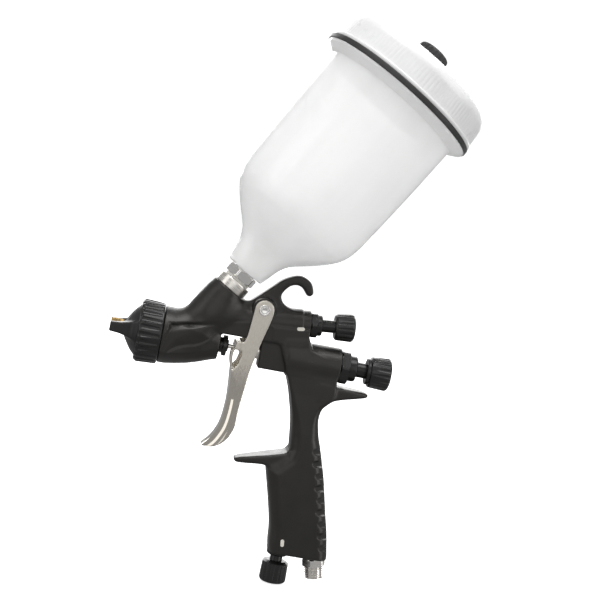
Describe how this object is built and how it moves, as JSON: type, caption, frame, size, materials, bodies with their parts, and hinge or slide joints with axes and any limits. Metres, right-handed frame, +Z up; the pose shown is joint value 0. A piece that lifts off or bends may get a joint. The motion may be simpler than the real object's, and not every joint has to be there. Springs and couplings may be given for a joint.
{
  "type": "hvlp spray gun",
  "caption": "Gravity feed HVLP spray gun: cast body with trigger, air cap head, three control knobs, hanging hook and a tilted plastic paint cup with screw lid.",
  "frame": {"origin": "centre of the air inlet thread's open end, at the foot of the handle", "axes": "+Z up along the spray gun's height, -X along the spray axis towards the nozzle, Y across the gun, symmetry plane Y=0"},
  "size_m": [0.2111, 0.1154, 0.3753],
  "materials": {
    "body_black": "satin anodised black over forged aluminium",
    "knob_black": "semi-gloss black anodised aluminium",
    "stainless": "satin stainless steel",
    "trigger_steel": "satin stamped stainless steel, polished blade",
    "nickel": "nickel plated brass",
    "brass": "turned brass",
    "spring_steel": "spring wire",
    "seal_black": "black rubber",
    "seal_white": "PTFE and nylon seals",
    "cup_nylon": "milky translucent nylon",
    "lid_white": "white nylon",
    "index_white": "off-white paint fill"
  },
  "bodies": {
    "root": {"gun_body": "body_black", "handle": "body_black", "hanging_hook": "body_black", "fluid_inlet_collar": "stainless", "air_inlet_fitting": "nickel", "inlet_seal": "seal_black", "fluid_nozzle": "stainless", "air_distributor": "brass", "needle_packing": "seal_white", "packing_nut": "knob_black", "air_valve_guide": "brass", "air_valve_seat": "seal_white", "fluid_control_bush": "knob_black", "fan_valve_bush": "knob_black", "air_control_bush": "knob_black", "trigger_pivot_pin": "stainless", "pivot_clip": "spring_steel", "index_marks": "index_white"},
    "trigger": {"trigger": "trigger_steel"},
    "air_valve": {"air_valve_stem": "stainless", "air_valve_spring": "spring_steel"},
    "needle": {"fluid_needle": "stainless", "needle_collar": "brass", "needle_spring": "spring_steel"},
    "cap_carrier": {"air_cap_clip": "spring_steel"},
    "cap_ring": {"air_cap_ring": "knob_black"},
    "air_cap": {"air_cap": "knob_black"},
    "fluid_screw": {"fluid_spring_seat": "brass"},
    "fluid_knob": {"fluid_knob": "knob_black"},
    "fan_screw": {"fan_valve_cone": "brass"},
    "fan_knob": {"fan_knob": "knob_black", "fan_valve_oring": "seal_black"},
    "air_screw": {"air_control_cone": "brass"},
    "air_knob": {"air_control_knob": "knob_black", "air_control_oring": "seal_black"},
    "cup_carrier": {"cup_seal": "seal_white"},
    "cup": {"cup_wall": "cup_nylon", "cup_funnel": "cup_nylon", "cup_fitting": "stainless", "cup_nut": "stainless", "paint_strainer": "seal_white"},
    "lid_carrier": {"lid_gasket": "seal_black"},
    "lid": {"cup_lid": "lid_white", "lid_vent_seal": "seal_black"},
    "vent_knob": {"lid_vent_knob": "seal_black"}
  },
  "joints": [
    {"name": "trigger_pull", "type": "hinge", "parent": "root", "child": "trigger", "pos_m": [-0.0677, 0, 0.1697], "axis": [0, -1, 0], "range_deg": [0, 12.5], "stiffness_Nm_per_rad": 2, "springref_deg": -8.59},
    {"name": "air_valve_slide", "type": "slide", "parent": "root", "child": "air_valve", "axis": [1, 0, 0], "range_m": [0, 0.0063], "deforming": ["air_valve_spring"]},
    {"name": "needle_slide", "type": "slide", "parent": "root", "child": "needle", "axis": [1, 0, 0], "range_m": [0, 0.0048], "deforming": ["needle_spring"]},
    {"name": "cap_slide", "type": "slide", "parent": "root", "child": "cap_carrier", "axis": [-1, 0, 0], "range_m": [0, 0.0076]},
    {"name": "cap_ring_turn", "type": "hinge", "parent": "cap_carrier", "child": "cap_ring", "pos_m": [0, 0, 0.1415], "axis": [-1, 0, 0], "range_deg": [0, 1800]},
    {"name": "air_cap_turn", "type": "hinge", "parent": "cap_carrier", "child": "air_cap", "pos_m": [0, 0, 0.1415], "axis": [-1, 0, 0], "range_deg": [-90, 90]},
    {"name": "fluid_screw_slide", "type": "slide", "parent": "root", "child": "fluid_screw", "axis": [1, 0, 0], "range_m": [-0.0041, 0.0021]},
    {"name": "fluid_knob_turn", "type": "hinge", "parent": "fluid_screw", "child": "fluid_knob", "pos_m": [0, 0, 0.1415], "axis": [1, 0, 0], "range_deg": [-1440, 720]},
    {"name": "fan_screw_slide", "type": "slide", "parent": "root", "child": "fan_screw", "axis": [0.9954, 0, 0.0958], "range_m": [-0.0051, 0.0001]},
    {"name": "fan_knob_turn", "type": "hinge", "parent": "fan_screw", "child": "fan_knob", "pos_m": [-0.0357, 0, 0.1648], "axis": [0.9954, 0, 0.0958], "range_deg": [-1440, 0]},
    {"name": "air_screw_slide", "type": "slide", "parent": "root", "child": "air_screw", "axis": [0, 0, -1], "range_m": [-0.0031, 0.0006]},
    {"name": "air_knob_turn", "type": "hinge", "parent": "air_screw", "child": "air_knob", "pos_m": [-0.0273, 0, 0], "axis": [0, 0, -1], "range_deg": [-1080, 180]},
    {"name": "cup_screw_slide", "type": "slide", "parent": "root", "child": "cup_carrier", "axis": [0.5, 0, 0.866], "range_m": [0, 0.0081]},
    {"name": "cup_turn", "type": "hinge", "parent": "cup_carrier", "child": "cup", "pos_m": [-0.0842, 0, 0.1913], "axis": [0.5, 0, 0.866], "range_deg": [0, 2160]},
    {"name": "lid_screw_slide", "type": "slide", "parent": "cup", "child": "lid_carrier", "axis": [0.5, 0, 0.866], "range_m": [0, 0.0091]},
    {"name": "lid_turn", "type": "hinge", "parent": "lid_carrier", "child": "lid", "pos_m": [-0.0842, 0, 0.1913], "axis": [0.5, 0, 0.866], "range_deg": [0, 720]},
    {"name": "vent_turn", "type": "hinge", "parent": "lid", "child": "vent_knob", "pos_m": [-0.0842, 0, 0.1913], "axis": [0.5, 0, 0.866], "range_deg": [0, 90]}
  ],
  "couplings": [
    {"joint": "air_valve_slide", "follows": "trigger_pull", "m_per_rad": 0.028419},
    {"joint": "needle_slide", "follows": "trigger_pull", "m_per_rad": 0.021085},
    {"joint": "cap_slide", "follows": "cap_ring_turn", "m_per_rad": 0.00023873},
    {"joint": "fluid_screw_slide", "follows": "fluid_knob_turn", "m_per_rad": 0.00015915},
    {"joint": "fan_screw_slide", "follows": "fan_knob_turn", "m_per_rad": 0.00019894},
    {"joint": "air_screw_slide", "follows": "air_knob_turn", "m_per_rad": 0.00015915},
    {"joint": "cup_screw_slide", "follows": "cup_turn", "m_per_rad": 0.00021279},
    {"joint": "lid_screw_slide", "follows": "lid_turn", "m_per_rad": 0.0007162}
  ]
}
